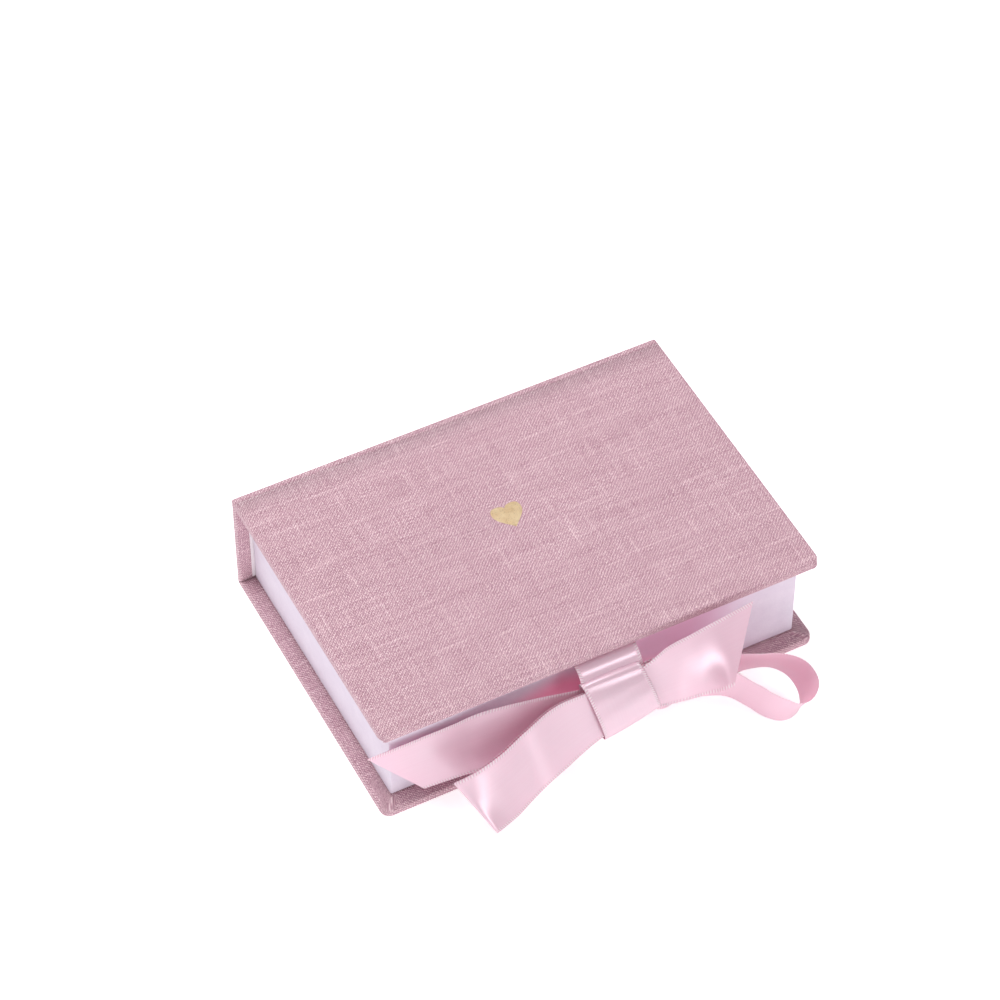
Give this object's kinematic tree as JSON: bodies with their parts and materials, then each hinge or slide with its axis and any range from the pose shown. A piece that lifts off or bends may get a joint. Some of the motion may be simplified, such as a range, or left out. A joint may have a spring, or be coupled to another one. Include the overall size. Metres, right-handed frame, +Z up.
{
  "type": "jewelry gift box",
  "caption": "Book-style jewellery gift box with a cloth-covered hinged cover and spine, a paper-wrapped tray with a velvet pad, and a satin ribbon bow at the front.",
  "frame": {"origin": "middle of the base's underside, the footprint of the case without the bow", "axes": "+X along the spine to the right when the opening edge faces the viewer, +Y from the opening edge to the spine, +Z up"},
  "size_m": [0.1176, 0.1062, 0.0324],
  "materials": {
    "bookcloth": "dusty pink linen-weave bookcloth, matt with pale thread highlights",
    "greyboard": "uncoated grey binder's board, all of it covered when the box is assembled",
    "lining_paper": "matt off-white lining paper",
    "wrapping_paper": "smooth matt white paper with a faint lilac cast",
    "gummed_tape": "brown gummed paper tape",
    "glue": "dried white adhesive",
    "gold_foil": "pale gold hot-pressed foil, slightly sunk in the cloth",
    "satin_ribbon": "pale pink double-face satin ribbon with a stitched selvedge on both edges",
    "foam": "off-white polyurethane foam",
    "velvet": "ivory short-pile velvet"
  },
  "bodies": {
    "base": {"base_board": "greyboard", "base_cloth": "bookcloth", "tray_glue_sheet": "glue", "tray_floor": "greyboard", "tray_wall_front": "greyboard", "tray_wall_back": "greyboard", "tray_wall_left": "greyboard", "tray_wall_right": "greyboard", "tray_corner_stay_front_left": "gummed_tape", "tray_corner_stay_front_right": "gummed_tape", "tray_corner_stay_back_left": "gummed_tape", "tray_corner_stay_back_right": "gummed_tape", "tray_wrap": "wrapping_paper", "tray_liner": "wrapping_paper", "insert_card": "greyboard", "insert_foam": "foam", "insert_velvet": "velvet", "base_ribbon": "satin_ribbon", "bow_knot": "satin_ribbon", "bow_left_loop": "satin_ribbon", "bow_left_tail": "satin_ribbon", "bow_right_loop": "satin_ribbon", "bow_right_tail": "satin_ribbon"},
    "spine": {"spine_board": "greyboard", "spine_cloth": "bookcloth", "spine_lining": "lining_paper"},
    "lid": {"cover_board": "greyboard", "cover_cloth": "bookcloth", "cover_lining": "lining_paper", "foil_heart": "gold_foil", "lid_ribbon": "satin_ribbon"}
  },
  "joints": [
    {"name": "spine_hinge", "type": "hinge", "parent": "base", "child": "spine", "pos_m": [0, 0.0405, 0], "axis": [-1, 0, 0], "range_deg": [0, 90]},
    {"name": "lid_hinge", "type": "hinge", "parent": "spine", "child": "lid", "pos_m": [0, 0.0405, 0.0307], "axis": [-1, 0, 0], "range_deg": [0, 90]}
  ]
}
